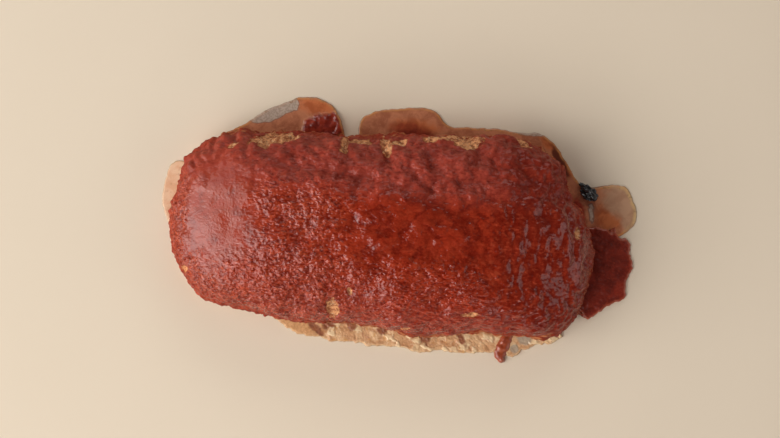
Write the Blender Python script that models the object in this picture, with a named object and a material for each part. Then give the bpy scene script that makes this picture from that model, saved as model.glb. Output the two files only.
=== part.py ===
"""A baked, glazed meatloaf, shaped by hand and lying flat on its foot, with the
glaze and juices that ran down it and set in thin films round its foot.

Metres, +Z up, +X along the loaf, the plane z = 0 is what the loaf rests on.
The loaf is a dome over an uneven, hand-patted footprint. A square sheet of
grid lines is laid over that dome, crown in the middle and foot at the rim,
and the foot is closed with one flat face.
"""

import math

import bmesh
import bpy
import numpy as np

for thing in list(bpy.data.objects):
    bpy.data.objects.remove(thing, do_unlink=True)

# ---------------------------------------------------------------- dimensions
LOAF_LENGTH = 0.272       # end to end, at the widest level of the side
LOAF_WIDTH = 0.132        # front to back, at the widest level of the side
LOAF_HEIGHT = 0.057       # crown above the foot
BELLY_HEIGHT = 0.017      # level at which the side stands out furthest
FOOT_INSET = 0.0034       # how far the foot is drawn in under the belly
CROWN_POWER = 2.45        # roundness of the section from crown to belly
FOOT_POWER = 2.6          # roundness of the section from belly to foot
CROWN_DROP_LEFT = 0.0070   # the crown falls towards the left end
CROWN_DROP_RIGHT = 0.0035  # and a little towards the right one
LOAF_AT = (-0.01204, -0.00362)  # loaf centre, so that the whole object is centred

# Distance from the centre to the belly line, every 15 degrees from the right
# end, anticlockwise, as a share of the ellipse LOAF_LENGTH x LOAF_WIDTH.
# The right end is squarer than the left one, and the front left is pared off.
FOOTPRINT = (0.99, 0.98, 1.01, 1.15, 1.12, 0.98, 0.91, 0.92,
             1.00, 1.11, 1.08, 1.00, 0.99, 1.01, 1.06, 1.11,
             1.04, 0.94, 0.94, 1.01, 1.04, 1.20, 1.11, 1.03)

GRID_LONG, GRID_WIDE = 64, 44   # squares of the sheet laid over the dome

# Soft unevenness of the meat: (wavelength, height, seed)
LUMPS = ((0.046, 0.0022, 11), (0.021, 0.0013, 23), (0.0125, 0.00065, 37))
EDGE_SCALLOP = (0.017, 0.0012, 5)   # wavelength, depth, seed of the belly line
# The left end is the smoothest part: x, y, half length, half width, share calmed
SMOOTH_END = (-0.104, 0.004, 0.036, 0.044, 0.70)

# Dents and creases pressed in the top: (x0, y0, x1, y1, depth, half width)
CREASES = (
    (-0.066, 0.038, -0.022, 0.034, 0.0022, 0.0042),
    (-0.022, 0.034, 0.030, 0.029, 0.0017, 0.0040),
    (0.030, 0.029, 0.066, 0.036, 0.0013, 0.0046),
    (-0.078, 0.045, -0.070, 0.041, 0.0014, 0.0042),
    (-0.027, 0.050, -0.023, 0.045, 0.0017, 0.0042),
    (0.000, 0.050, 0.004, 0.044, 0.0017, 0.0042),
    (0.014, 0.042, 0.020, 0.036, 0.0018, 0.0042),
    (0.029, 0.045, 0.033, 0.041, 0.0017, 0.0040),
    (0.058, 0.053, 0.063, 0.049, 0.0014, 0.0042),
    (-0.052, -0.043, -0.041, -0.036, 0.0012, 0.0034),
    (-0.020, 0.007, 0.004, 0.000, 0.0007, 0.0050),
)

# Films round the foot, set from glaze, fat and meat juice. Angles in degrees
# round the loaf like FOOTPRINT's. A reach is measured outwards from the belly
# line. Each lobe is (angle, half spread before, half spread after, reach).
FILM_GAP = 0.0004         # clear of the loaf's own foot
FILMS = {
    "glaze_pool": dict(
        first=-35.0, last=7.5, thick=0.0019, least=0.0030, seed=3, ragged=0.0016,
        lobes=((-9.0, 21.0, 15.5, 0.0300),), steps=46, colour="glaze_run"),
    "juice_back": dict(
        first=8.8, last=99.5, thick=0.0012, least=0.0024, seed=8, ragged=0.0010,
        lobes=((19.0, 7.5, 8.5, 0.0210), (58.0, 34.0, 42.0, 0.0078),
               (86.5, 10.5, 11.5, 0.0135)), steps=72, colour="juice"),
    "juice_back_left": dict(
        first=102.6, last=134.0, thick=0.0012, least=0.0016, seed=14, ragged=0.0010,
        lobes=((109.5, 7.0, 9.0, 0.0150), (113.0, 10.5, 17.0, 0.0095)), steps=40, colour="juice"),
    "juice_left": dict(
        first=149.0, last=190.0, thick=0.0008, least=0.0012, seed=21, ragged=0.0012,
        lobes=((171.0, 17.0, 16.0, 0.0095),), steps=34, colour="curd"),
    "curds_front": dict(
        first=-121.0, last=-36.5, thick=0.0020, least=0.0018, seed=29, ragged=0.0022,
        lobes=((-76.0, 40.0, 36.0, 0.0100), (-62.0, 5.0, 4.0, 0.0052),
               (-99.0, 7.0, 6.0, 0.0028)), steps=84, colour="curd"),
}

CHAR_SIZE = (0.0140, 0.0074, 0.0046)   # the burnt bit at the right end
CHAR_AT = (0.1345, 0.0345)             # from the loaf's centre
CHAR_TURN = -38.0                      # degrees

COLOURS = {   # base colour, roughness
    "glaze": ((0.150, 0.014, 0.006), 0.30),
    "glaze_run": ((0.070, 0.008, 0.004), 0.25),
    "juice": ((0.190, 0.060, 0.022), 0.25),
    "curd": ((0.600, 0.400, 0.210), 0.55),
    "char": ((0.010, 0.009, 0.009), 0.45),
}


# ------------------------------------------------------------------- helpers
def lattice_value(i, j, k, seed):
    """A fixed pseudo-random integer for each lattice point."""
    h = (i * 73856093) ^ (j * 19349663) ^ (k * 83492791) ^ (seed * 40503)
    h = h & 0xFFFFFFFF
    h = ((h ^ (h >> 15)) * 0x2C1B3C6D) & 0xFFFFFFFF
    h = ((h ^ (h >> 12)) * 0x297A2D39) & 0xFFFFFFFF
    return (h ^ (h >> 15)) & 0xFFFFFFFF


def swell(points, wavelength, seed):
    """Smooth gradient noise at points (n, 3), between about -1 and 1."""
    p = points / wavelength
    base = np.floor(p).astype(np.int64)
    f = p - base
    w = f * f * f * (f * (f * 6 - 15) + 10)
    total = np.zeros(len(p))
    for di in (0, 1):
        for dj in (0, 1):
            for dk in (0, 1):
                h = lattice_value(base[:, 0] + di, base[:, 1] + dj, base[:, 2] + dk, seed)
                turn = (h & 0xFFFF) / 65536.0 * 2 * math.pi
                rise = ((h >> 16) & 0xFFFF) / 32768.0 - 1.0
                flat = np.sqrt(np.maximum(0.0, 1 - rise * rise))
                dot = (flat * np.cos(turn) * (f[:, 0] - di)
                       + flat * np.sin(turn) * (f[:, 1] - dj)
                       + rise * (f[:, 2] - dk))
                total += (dot * (w[:, 0] if di else 1 - w[:, 0])
                          * (w[:, 1] if dj else 1 - w[:, 1])
                          * (w[:, 2] if dk else 1 - w[:, 2]))
    return total * 1.6


def ease(low, high, x):
    t = np.clip((x - low) / (high - low), 0, 1)
    return t * t * (3 - 2 * t)


def around(table, angle):
    """A smooth closed curve through table's values, evenly spaced round."""
    table = np.asarray(table, float)
    n = len(table)
    u = (angle % (2 * math.pi)) / (2 * math.pi) * n
    i = np.floor(u).astype(int)
    f = u - i
    a, b, c, d = (table[(i + s) % n] for s in (-1, 0, 1, 2))
    return 0.5 * (2 * b + (c - a) * f + (2 * a - 5 * b + 4 * c - d) * f ** 2
                  + (3 * b - a - 3 * c + d) * f ** 3)


# ------------------------------------------------------------------ the loaf
def belly_line(angle):
    """Where the side stands out furthest, from above: (x, y), centred."""
    share = around(FOOTPRINT, angle)
    x = LOAF_LENGTH / 2 * share * np.cos(angle)
    y = LOAF_WIDTH / 2 * share * np.sin(angle)
    wave, depth, seed = EDGE_SCALLOP
    out = depth * swell(np.stack([x, y, np.zeros_like(x)], -1), wave, seed)
    length = np.hypot(x, y)
    return x * (1 + out / length), y * (1 + out / length)


def profile_table():
    """Even steps from crown to foot: share of the way, share of the crown
    part's radius, its height share, and the foot part's inset and height."""
    up = np.linspace(0, math.pi / 2, 400)
    down = np.linspace(0, math.pi / 2, 200)[1:]
    radius = np.r_[np.sin(up) ** (2 / CROWN_POWER), np.ones(len(down))]
    crown = np.r_[np.cos(up) ** (2 / CROWN_POWER), np.zeros(len(down))]
    inset = np.r_[np.zeros(len(up)), 1 - np.cos(down) ** (2 / FOOT_POWER)]
    foot = np.r_[np.ones(len(up)), 1 - np.sin(down) ** (2 / FOOT_POWER)]
    inset[-1], foot[-1], crown[len(up) - 1] = 1.0, 0.0, 0.0
    mean_radius = (LOAF_LENGTH + 2 * LOAF_WIDTH) / 6
    r = radius * mean_radius - inset * FOOT_INSET
    z = crown * (LOAF_HEIGHT - BELLY_HEIGHT) + foot * BELLY_HEIGHT
    way = np.r_[0, np.cumsum(np.hypot(np.diff(r), np.diff(z)))]
    return way / way[-1], radius, crown, inset, foot


PROFILE = profile_table()


def dome(u, v):
    """The smooth loaf: sheet coordinates u, v in -1..1 to (x, y, z)."""
    across = u * np.sqrt(1 - v * v / 2)
    along = v * np.sqrt(1 - u * u / 2)
    way = np.clip(np.hypot(across, along), 0, 1)
    angle = np.arctan2(along, across)
    steps, radius, crown, inset, foot = PROFILE
    radius, crown, inset, foot = (np.interp(way, steps, t) for t in (radius, crown, inset, foot))
    bx, by = belly_line(angle)
    reach = np.hypot(bx, by)
    share = radius - inset * FOOT_INSET / reach
    x, y = bx * share, by * share
    top = LOAF_HEIGHT - np.where(x < 0, CROWN_DROP_LEFT, CROWN_DROP_RIGHT) * (x / (LOAF_LENGTH / 2)) ** 2
    z = crown * (top - BELLY_HEIGHT) + foot * BELLY_HEIGHT
    return np.stack([x, y, z], -1)


def outward(u, v):
    """Unit normals of the smooth loaf."""
    e = 1e-4
    lo_u, hi_u = np.clip(u - e, -1, 1), np.clip(u + e, -1, 1)
    lo_v, hi_v = np.clip(v - e, -1, 1), np.clip(v + e, -1, 1)
    n = np.cross(dome(hi_u, v) - dome(lo_u, v), dome(u, hi_v) - dome(u, lo_v))
    return n / np.maximum(np.linalg.norm(n, axis=-1, keepdims=True), 1e-12)


def relief(p):
    """Height of the lumps and creases at points p of the smooth loaf."""
    back = ease(0.005, 0.040, p[:, 1])          # the back is the lumpier side
    rise = np.zeros(len(p))
    for n, (wave, height, seed) in enumerate(LUMPS):
        rise += height * swell(p, wave, seed) * (1 + (0.35 if n else 0.15) * back)
    sx, sy, half_x, half_y, calmed = SMOOTH_END
    rise *= 1 - calmed * np.exp(-((((p[:, 0] - sx) / half_x) ** 2 + ((p[:, 1] - sy) / half_y) ** 2) ** 2))
    for x0, y0, x1, y1, depth, half in CREASES:
        run = np.array([x1 - x0, y1 - y0])
        t = np.clip(((p[:, :2] - (x0, y0)) @ run) / (run @ run), 0, 1)
        gap = np.hypot(p[:, 0] - x0 - t * run[0], p[:, 1] - y0 - t * run[1])
        rise -= depth * np.exp(-((gap / half) ** 2)) * ease(BELLY_HEIGHT, 0.03, p[:, 2])
    return rise * ease(0.0025, 0.012, p[:, 2])   # the foot itself stays plain


def loaf_mesh():
    us = np.linspace(-1, 1, GRID_LONG + 1)
    vs = np.linspace(-1, 1, GRID_WIDE + 1)
    u, v = (g.ravel() for g in np.meshgrid(us, vs))
    p = dome(u, v)
    p += outward(u, v) * relief(p)[:, None]
    rim = (np.abs(u) > 1 - 1e-9) | (np.abs(v) > 1 - 1e-9)
    p[rim, 2] = 0.0
    bm = bmesh.new()
    verts = [bm.verts.new(q) for q in p.tolist()]
    row = GRID_LONG + 1
    for j in range(GRID_WIDE):
        for i in range(GRID_LONG):
            a = j * row + i
            bm.faces.new((verts[a], verts[a + 1], verts[a + row + 1], verts[a + row]))
    bmesh.ops.holes_fill(bm, edges=[e for e in bm.edges if e.is_boundary], sides=0)
    bmesh.ops.recalc_face_normals(bm, faces=bm.faces)
    return bm


# ----------------------------------------------------------------- the films
def film_reach(film, degrees):
    """How far a film spreads beyond the belly line."""
    reach = np.full_like(degrees, film["least"])
    for at, before, after, most in film["lobes"]:
        d = (degrees - at) / np.where(degrees < at, before, after)
        reach = reach + most * np.exp(-np.abs(d) ** 4 * 0.9)
    return reach


def film_mesh(film):
    """A flat-bottomed strip from the loaf's foot out to the film's own edge."""
    n = film["steps"]
    degrees = np.linspace(film["first"], film["last"], n + 1)
    angle = np.radians(degrees)
    bx, by = belly_line(angle)
    reach = np.hypot(bx, by)
    ox, oy = bx / reach, by / reach
    spread = film_reach(film, degrees)
    spread = spread + film["ragged"] * swell(np.stack([bx, by, np.zeros_like(bx)], -1) * 1.0,
                                             0.008, film["seed"])
    tip = np.minimum(np.arange(n + 1), np.arange(n, -1, -1)) / 4.0   # round the two tips
    spread = np.maximum(spread, 0.001) * np.sqrt(np.clip(1 - (1 - np.clip(tip, 0, 1)) ** 2, 0.04, 1))
    # inner edge: clear of the loaf's surface up to the film's own thickness
    low = 1 - (1 - min(0.9, (film["thick"] + 0.0006) / BELLY_HEIGHT)) ** FOOT_POWER
    inner = -FOOT_INSET * (1 - low ** (1 / FOOT_POWER)) + FILM_GAP
    outer = np.maximum(spread, inner + 0.0008)
    height = film["thick"] * (0.85 + 0.15 * np.cos(degrees * 0.35))
    #            share of the way out, share of the height
    section = ((0.0, 0.0), (0.0, 0.94), (0.45, 1.0), (0.86, 0.80), (1.0, 0.30), (1.0, 0.0))
    bm = bmesh.new()
    rings = []
    for k in range(n + 1):
        ring = []
        for out, up in section:
            d = inner + (outer[k] - inner) * out
            ring.append(bm.verts.new((bx[k] + ox[k] * d, by[k] + oy[k] * d, height[k] * up)))
        rings.append(ring)
    for a, b in zip(rings, rings[1:]):
        for i in range(len(section)):
            j = (i + 1) % len(section)
            bm.faces.new((a[i], a[j], b[j], b[i]))
    bm.faces.new(rings[0])
    bm.faces.new(rings[-1])
    bmesh.ops.recalc_face_normals(bm, faces=bm.faces)
    return bm


# ------------------------------------------------------------- the burnt bit
def char_mesh():
    bm = bmesh.new()
    bmesh.ops.create_icosphere(bm, subdivisions=3, radius=1.0)
    p = np.array([v.co for v in bm.verts])
    size = 1 + 0.22 * swell(p, 1.1, 77) + 0.12 * swell(p, 0.5, 78)
    p = p * size[:, None] * (np.array(CHAR_SIZE) / 2)
    p[:, 0] *= 1 - 0.25 * ease(0, CHAR_SIZE[0] / 2, p[:, 0])
    p[:, 2] = np.maximum(p[:, 2], -0.30 * CHAR_SIZE[2])
    turn = math.radians(CHAR_TURN)
    x = p[:, 0] * math.cos(turn) - p[:, 1] * math.sin(turn)
    y = p[:, 0] * math.sin(turn) + p[:, 1] * math.cos(turn)
    top = FILMS["juice_back"]["thick"] + 0.0004
    for vert, a, b, c in zip(bm.verts, x, y, p[:, 2] - p[:, 2].min() + top):
        vert.co = (a + CHAR_AT[0], b + CHAR_AT[1], c)
    bmesh.ops.recalc_face_normals(bm, faces=bm.faces)
    return bm


# ------------------------------------------------------------------- objects
def material(name):
    found = bpy.data.materials.get(name)
    if found:
        return found
    made = bpy.data.materials.new(name)
    made.use_nodes = True
    colour, rough = COLOURS[name]
    shader = made.node_tree.nodes["Principled BSDF"]
    shader.inputs["Base Color"].default_value = (*colour, 1.0)
    shader.inputs["Roughness"].default_value = rough
    shader.inputs["Metallic"].default_value = 0.0
    return made


base = bpy.data.objects.new("loaf_centre", None)
bpy.context.scene.collection.objects.link(base)
base.location = (LOAF_AT[0], LOAF_AT[1], 0.0)


def add(name, bm, colour):
    mesh = bpy.data.meshes.new(name)
    bm.to_mesh(mesh)
    bm.free()
    mesh.materials.append(material(colour))
    mesh.shade_smooth()
    mesh.set_sharp_from_angle(angle=math.radians(50))
    made = bpy.data.objects.new(name, mesh)
    bpy.context.scene.collection.objects.link(made)
    made.parent = base
    return made


add("meatloaf", loaf_mesh(), "glaze")
for name, film in FILMS.items():
    add(name, film_mesh(film), film["colour"])
add("charred_bit", char_mesh(), "char")

bpy.context.view_layer.update()
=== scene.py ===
"""The looks of a glazed meatloaf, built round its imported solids.

The loaf's surface is worked out again here on a fine grid, from the same
rules as its solid, and then gets what is too fine for the solid: the folds
and pits of the meat, the glaze as a real thickness with a ragged edge, its
wrinkles, and the grain of the browned meat that shows below and between.
"""

import math

import bmesh
import bpy
import numpy as np
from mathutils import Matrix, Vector


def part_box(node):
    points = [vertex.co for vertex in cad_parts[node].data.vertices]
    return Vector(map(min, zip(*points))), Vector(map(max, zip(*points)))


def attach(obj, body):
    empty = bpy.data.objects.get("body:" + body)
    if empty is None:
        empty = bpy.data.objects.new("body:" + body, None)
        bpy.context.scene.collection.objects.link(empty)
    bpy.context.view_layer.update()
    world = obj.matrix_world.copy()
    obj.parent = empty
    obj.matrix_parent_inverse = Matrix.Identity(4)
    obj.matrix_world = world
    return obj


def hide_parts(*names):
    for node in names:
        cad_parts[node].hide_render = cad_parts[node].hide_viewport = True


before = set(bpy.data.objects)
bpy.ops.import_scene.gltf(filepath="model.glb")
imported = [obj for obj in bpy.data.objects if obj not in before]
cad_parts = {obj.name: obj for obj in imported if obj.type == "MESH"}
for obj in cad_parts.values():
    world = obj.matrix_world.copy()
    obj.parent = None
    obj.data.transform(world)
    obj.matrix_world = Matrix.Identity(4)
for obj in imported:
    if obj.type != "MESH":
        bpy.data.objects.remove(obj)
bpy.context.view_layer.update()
MM = 0.001

# ------------------------------------------------------- the loaf's own form
LOAF_LENGTH, LOAF_WIDTH, LOAF_HEIGHT = 0.272, 0.132, 0.057
BELLY_HEIGHT, FOOT_INSET = 0.017, 0.0034
CROWN_POWER, FOOT_POWER = 2.45, 2.6
CROWN_DROP_LEFT, CROWN_DROP_RIGHT = 0.0070, 0.0035
FOOTPRINT = (0.99, 0.98, 1.01, 1.15, 1.12, 0.98, 0.91, 0.92,
             1.00, 1.11, 1.08, 1.00, 0.99, 1.01, 1.06, 1.11,
             1.04, 0.94, 0.94, 1.01, 1.04, 1.20, 1.11, 1.03)
LUMPS = ((0.046, 0.0022, 11), (0.021, 0.0013, 23), (0.0125, 0.00065, 37))
EDGE_SCALLOP = (0.017, 0.0012, 5)
SMOOTH_END = (-0.104, 0.004, 0.036, 0.044, 0.70)
CREASES = (
    (-0.066, 0.038, -0.022, 0.034, 0.0022, 0.0042),
    (-0.022, 0.034, 0.030, 0.029, 0.0017, 0.0040),
    (0.030, 0.029, 0.066, 0.036, 0.0013, 0.0046),
    (-0.078, 0.045, -0.070, 0.041, 0.0014, 0.0042),
    (-0.027, 0.050, -0.023, 0.045, 0.0017, 0.0042),
    (0.000, 0.050, 0.004, 0.044, 0.0017, 0.0042),
    (0.014, 0.042, 0.020, 0.036, 0.0018, 0.0042),
    (0.029, 0.045, 0.033, 0.041, 0.0017, 0.0040),
    (0.058, 0.053, 0.063, 0.049, 0.0014, 0.0042),
    (-0.052, -0.043, -0.041, -0.036, 0.0012, 0.0034),
    (-0.020, 0.007, 0.004, 0.000, 0.0007, 0.0050),
)


def lattice_value(i, j, k, seed):
    """A fixed pseudo-random integer for each lattice point."""
    h = (i * 73856093) ^ (j * 19349663) ^ (k * 83492791) ^ (seed * 40503)
    h = h & 0xFFFFFFFF
    h = ((h ^ (h >> 15)) * 0x2C1B3C6D) & 0xFFFFFFFF
    h = ((h ^ (h >> 12)) * 0x297A2D39) & 0xFFFFFFFF
    return (h ^ (h >> 15)) & 0xFFFFFFFF


def swell(points, wavelength, seed):
    """Smooth gradient noise at points (n, 3), between about -1 and 1."""
    p = points / wavelength
    base = np.floor(p).astype(np.int64)
    f = p - base
    w = f * f * f * (f * (f * 6 - 15) + 10)
    total = np.zeros(len(p))
    for di in (0, 1):
        for dj in (0, 1):
            for dk in (0, 1):
                h = lattice_value(base[:, 0] + di, base[:, 1] + dj, base[:, 2] + dk, seed)
                turn = (h & 0xFFFF) / 65536.0 * 2 * math.pi
                rise = ((h >> 16) & 0xFFFF) / 32768.0 - 1.0
                flat = np.sqrt(np.maximum(0.0, 1 - rise * rise))
                dot = (flat * np.cos(turn) * (f[:, 0] - di)
                       + flat * np.sin(turn) * (f[:, 1] - dj)
                       + rise * (f[:, 2] - dk))
                total += (dot * (w[:, 0] if di else 1 - w[:, 0])
                          * (w[:, 1] if dj else 1 - w[:, 1])
                          * (w[:, 2] if dk else 1 - w[:, 2]))
    return total * 1.6


def ease(low, high, x):
    t = np.clip((x - low) / (high - low), 0, 1)
    return t * t * (3 - 2 * t)


def around(table, angle):
    """A smooth closed curve through table's values, evenly spaced round."""
    table = np.asarray(table, float)
    n = len(table)
    u = (angle % (2 * math.pi)) / (2 * math.pi) * n
    i = np.floor(u).astype(int)
    f = u - i
    a, b, c, d = (table[(i + s) % n] for s in (-1, 0, 1, 2))
    return 0.5 * (2 * b + (c - a) * f + (2 * a - 5 * b + 4 * c - d) * f ** 2
                  + (3 * b - a - 3 * c + d) * f ** 3)


def belly_line(angle):
    share = around(FOOTPRINT, angle)
    x = LOAF_LENGTH / 2 * share * np.cos(angle)
    y = LOAF_WIDTH / 2 * share * np.sin(angle)
    wave, depth, seed = EDGE_SCALLOP
    out = depth * swell(np.stack([x, y, np.zeros_like(x)], -1), wave, seed)
    length = np.hypot(x, y)
    return x * (1 + out / length), y * (1 + out / length)


def profile_table():
    up = np.linspace(0, math.pi / 2, 400)
    down = np.linspace(0, math.pi / 2, 200)[1:]
    radius = np.r_[np.sin(up) ** (2 / CROWN_POWER), np.ones(len(down))]
    crown = np.r_[np.cos(up) ** (2 / CROWN_POWER), np.zeros(len(down))]
    inset = np.r_[np.zeros(len(up)), 1 - np.cos(down) ** (2 / FOOT_POWER)]
    foot = np.r_[np.ones(len(up)), 1 - np.sin(down) ** (2 / FOOT_POWER)]
    inset[-1], foot[-1], crown[len(up) - 1] = 1.0, 0.0, 0.0
    mean_radius = (LOAF_LENGTH + 2 * LOAF_WIDTH) / 6
    r = radius * mean_radius - inset * FOOT_INSET
    z = crown * (LOAF_HEIGHT - BELLY_HEIGHT) + foot * BELLY_HEIGHT
    way = np.r_[0, np.cumsum(np.hypot(np.diff(r), np.diff(z)))]
    return way / way[-1], radius, crown, inset, foot


PROFILE = profile_table()


def dome(u, v):
    """The smooth loaf: sheet coordinates u, v in -1..1 to (x, y, z)."""
    across = u * np.sqrt(1 - v * v / 2)
    along = v * np.sqrt(1 - u * u / 2)
    way = np.clip(np.hypot(across, along), 0, 1)
    angle = np.arctan2(along, across)
    steps, radius, crown, inset, foot = PROFILE
    radius, crown, inset, foot = (np.interp(way, steps, t) for t in (radius, crown, inset, foot))
    bx, by = belly_line(angle)
    reach = np.hypot(bx, by)
    share = radius - inset * FOOT_INSET / reach
    x, y = bx * share, by * share
    top = LOAF_HEIGHT - np.where(x < 0, CROWN_DROP_LEFT, CROWN_DROP_RIGHT) * (x / (LOAF_LENGTH / 2)) ** 2
    z = crown * (top - BELLY_HEIGHT) + foot * BELLY_HEIGHT
    return np.stack([x, y, z], -1)


def outward(u, v):
    e = 1e-4
    lo_u, hi_u = np.clip(u - e, -1, 1), np.clip(u + e, -1, 1)
    lo_v, hi_v = np.clip(v - e, -1, 1), np.clip(v + e, -1, 1)
    n = np.cross(dome(hi_u, v) - dome(lo_u, v), dome(u, hi_v) - dome(u, lo_v))
    return n / np.maximum(np.linalg.norm(n, axis=-1, keepdims=True), 1e-12)


def relief(p):
    """The lumps and creases that the solid has too."""
    back = ease(0.005, 0.040, p[:, 1])
    rise = np.zeros(len(p))
    for n, (wave, height, seed) in enumerate(LUMPS):
        rise += height * swell(p, wave, seed) * (1 + (0.35 if n else 0.15) * back)
    sx, sy, half_x, half_y, calmed = SMOOTH_END
    rise *= 1 - calmed * np.exp(-((((p[:, 0] - sx) / half_x) ** 2 + ((p[:, 1] - sy) / half_y) ** 2) ** 2))
    for x0, y0, x1, y1, depth, half in CREASES:
        run = np.array([x1 - x0, y1 - y0])
        t = np.clip(((p[:, :2] - (x0, y0)) @ run) / (run @ run), 0, 1)
        gap = np.hypot(p[:, 0] - x0 - t * run[0], p[:, 1] - y0 - t * run[1])
        rise -= depth * np.exp(-((gap / half) ** 2)) * ease(BELLY_HEIGHT, 0.03, p[:, 2])
    return rise * ease(0.0025, 0.012, p[:, 2])


def coarse_loaf():
    u, v = (g.ravel() for g in np.meshgrid(np.linspace(-1, 1, 65), np.linspace(-1, 1, 45)))
    p = dome(u, v)
    return p + outward(u, v) * relief(p)[:, None]


# where the solid's centre lies in the frame
low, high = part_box("meatloaf")
own = coarse_loaf()
CENTRE = Vector(((low[0] + high[0]) / 2 - (own[:, 0].min() + own[:, 0].max()) / 2,
                 (low[1] + high[1]) / 2 - (own[:, 1].min() + own[:, 1].max()) / 2, 0.0))

# ------------------------------------------------------------ fine loaf
GRID_LONG, GRID_WIDE = 408, 234

# where the glaze left the meat bare: x, y, half length, half width, turn, how bare (mm, degrees)
BARE = (
    (-73.5, 52.6, 13.0, 3.6, 14, 1.0), (-62.0, 55.0, 7.0, 2.6, 0, 0.8), (-97.0, 46.5, 5.0, 1.8, 25, 0.55),
    (-26.5, 53.5, 2.8, 5.4, -10, 0.9), (-0.6, 53.8, 3.4, 6.0, 20, 0.95), (7.0, 55.5, 6.5, 1.8, 8, 0.7),
    (-17.0, 56.0, 9.0, 1.6, 4, 0.75), (28.0, 58.0, 7.0, 1.7, 5, 0.6),
    (51.0, 60.3, 9.5, 3.6, 4, 1.0), (38.0, 60.0, 6.0, 1.8, 10, 0.7), (86.2, 61.0, 6.5, 1.6, -25, 0.85),
    (121.0, 31.0, 1.8, 4.4, 15, 0.95), (123.5, 8.0, 2.0, 4.6, 5, 0.7),
    (-26.2, -51.0, 3.6, 6.4, 18, 1.0), (-15.8, -39.8, 1.8, 3.2, 20, 0.45), (61.5, -47.4, 6.5, 1.9, 8, 0.6),
    (-122.5, -33.5, 2.2, 2.4, 0, 0.9), (20.0, -60.5, 5.0, 1.3, 4, 0.5),
)
# pits poked in the meat: x, y, radius, depth (mm)
PITS = (
    (-76.0, 48.8, 2.4, 2.6), (-25.5, 49.5, 2.2, 2.6), (0.8, 49.0, 2.0, 2.4), (20.3, 35.5, 2.0, 2.0),
    (28.6, 42.6, 2.2, 2.4), (-57.0, 45.0, 2.4, 1.6), (-45.5, 48.5, 2.0, 1.8), (68.0, 50.0, 2.0, 1.4),
    (47.5, 34.0, 2.2, 1.2), (-70.0, 32.0, 2.2, 1.2), (15.5, 38.0, 1.8, 1.4), (3.0, 45.5, 1.6, 1.2),
    (58.0, 30.0, 2.4, 0.9), (-44.0, -44.0, 3.0, 1.4), (-58.0, -38.0, 2.4, 1.0), (-34.0, -33.0, 2.2, 0.8),
    (-92.0, 38.5, 2.2, 1.0), (102.0, 40.5, 1.8, 1.0),
)
# slack folds of the glaze skin: x0, y0, x1, y1, rise, half width (mm)
FOLDS = (
    (-46, 28, -36, 20, 0.55, 0.9), (-36, 20, -30, 13, 0.45, 0.9), (-8, 22, 8, 24, 0.45, 0.9),
    (8, 24, 18, 17, 0.50, 0.9), (-3, 12, 14, 10, 0.40, 1.0), (-62, 27, -47, 26, 0.40, 0.9),
    (-26, -4, -12, 2, 0.35, 1.0), (34, -22, 52, -16, 0.40, 1.2), (52, -16, 62, -17, 0.30, 1.1),
    (-31, -18, -27, -27, 0.50, 0.7), (-20, -6, -18, -13, 0.45, 0.5), (70, 24, 84, 27, 0.40, 1.0),
    (25, 25, 42, 27, 0.40, 1.0), (42, 27, 50, 22, 0.35, 1.0), (-90, 20, -80, 27, 0.30, 0.9),
    (-18, -32, -8, -27, 0.35, 0.9), (78, -44, 96, -41, 0.45, 0.9), (-66, -42, -52, -47, 0.5, 0.9),
    (77.0, 22.0, 78.2, 14.5, -0.9, 0.7), (75.3, 9.0, 76.2, 1.0, -0.9, 0.7), (81.5, 12.0, 81.0, 6.0, -0.6, 0.6),
)


def stretched(p, turn, longer):
    """Points squeezed across a direction, so that noise runs along it."""
    c, s = math.cos(math.radians(turn)), math.sin(math.radians(turn))
    along = (p[:, 0] * c + p[:, 1] * s) / longer
    across = -p[:, 0] * s + p[:, 1] * c
    return np.stack([along, across, p[:, 2]], -1)


def ridges(p, wave, seed):
    """Rounded ridges with sharp valleys, 0 in the valley and 1 on the ridge."""
    return np.clip(np.abs(swell(p, wave, seed)) * 2.0, 0, 1.15)


def line_field(p, lines):
    rise = np.zeros(len(p))
    warp = swell(p, 7 * MM, 401) * 1.3 * MM
    for x0, y0, x1, y1, height, half in lines:
        a, b = np.array([x0, y0]) * MM, np.array([x1, y1]) * MM
        run = b - a
        t = ((p[:, :2] - a) @ run) / (run @ run)
        s = np.clip(t, 0, 1)
        gap = np.hypot(p[:, 0] - a[0] - s * run[0] + warp, p[:, 1] - a[1] - s * run[1] - warp)
        taper = np.clip(1 - np.abs(2 * s - 1) ** 3, 0.1, 1)
        rise += height * MM * np.exp(-((gap / (half * MM)) ** 2)) * taper
    return rise


def bare_share(p, angle):
    """0 under glaze, 1 where the meat shows."""
    x, y, z = p[:, 0] / MM, p[:, 1] / MM, p[:, 2] / MM
    rag = swell(p, 4.2 * MM, 61) * 0.34 + swell(p, 1.9 * MM, 62) * 0.22
    out = np.full(len(p), -9.0)
    for bx, by, rx, ry, turn, how in BARE:
        c, s = math.cos(math.radians(turn)), math.sin(math.radians(turn))
        dx, dy = x - bx, y - by
        d = np.sqrt(((dx * c + dy * s) / rx) ** 2 + ((-dx * s + dy * c) / ry) ** 2)
        out = np.maximum(out, (1.0 - d) + rag - (1 - how) * 0.35)
    # the hem of the glaze, hanging in lobes a little above the foot
    ring = np.stack([np.cos(angle), np.sin(angle), np.zeros_like(angle)], -1)
    hem = (5.6 + 3.4 * swell(p * (1, 1, 0.15), 19 * MM, 71) + 2.4 * swell(p * (1, 1, 0.2), 8 * MM, 72)
           + 1.2 * swell(p * (1, 1, 0.5), 3.2 * MM, 73))
    hem = hem + 3.0 * ease(30, 50, y) - 4.8 * ease(-118, -132, x) * ease(36, 20, np.abs(y - 4)) \
        - 5.0 * ease(116, 128, x) * ease(14, -2, y) + 0 * ring[:, 0]
    out = np.maximum(out, (hem - z) * 0.55)
    return ease(-0.16, 0.16, out)


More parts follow.
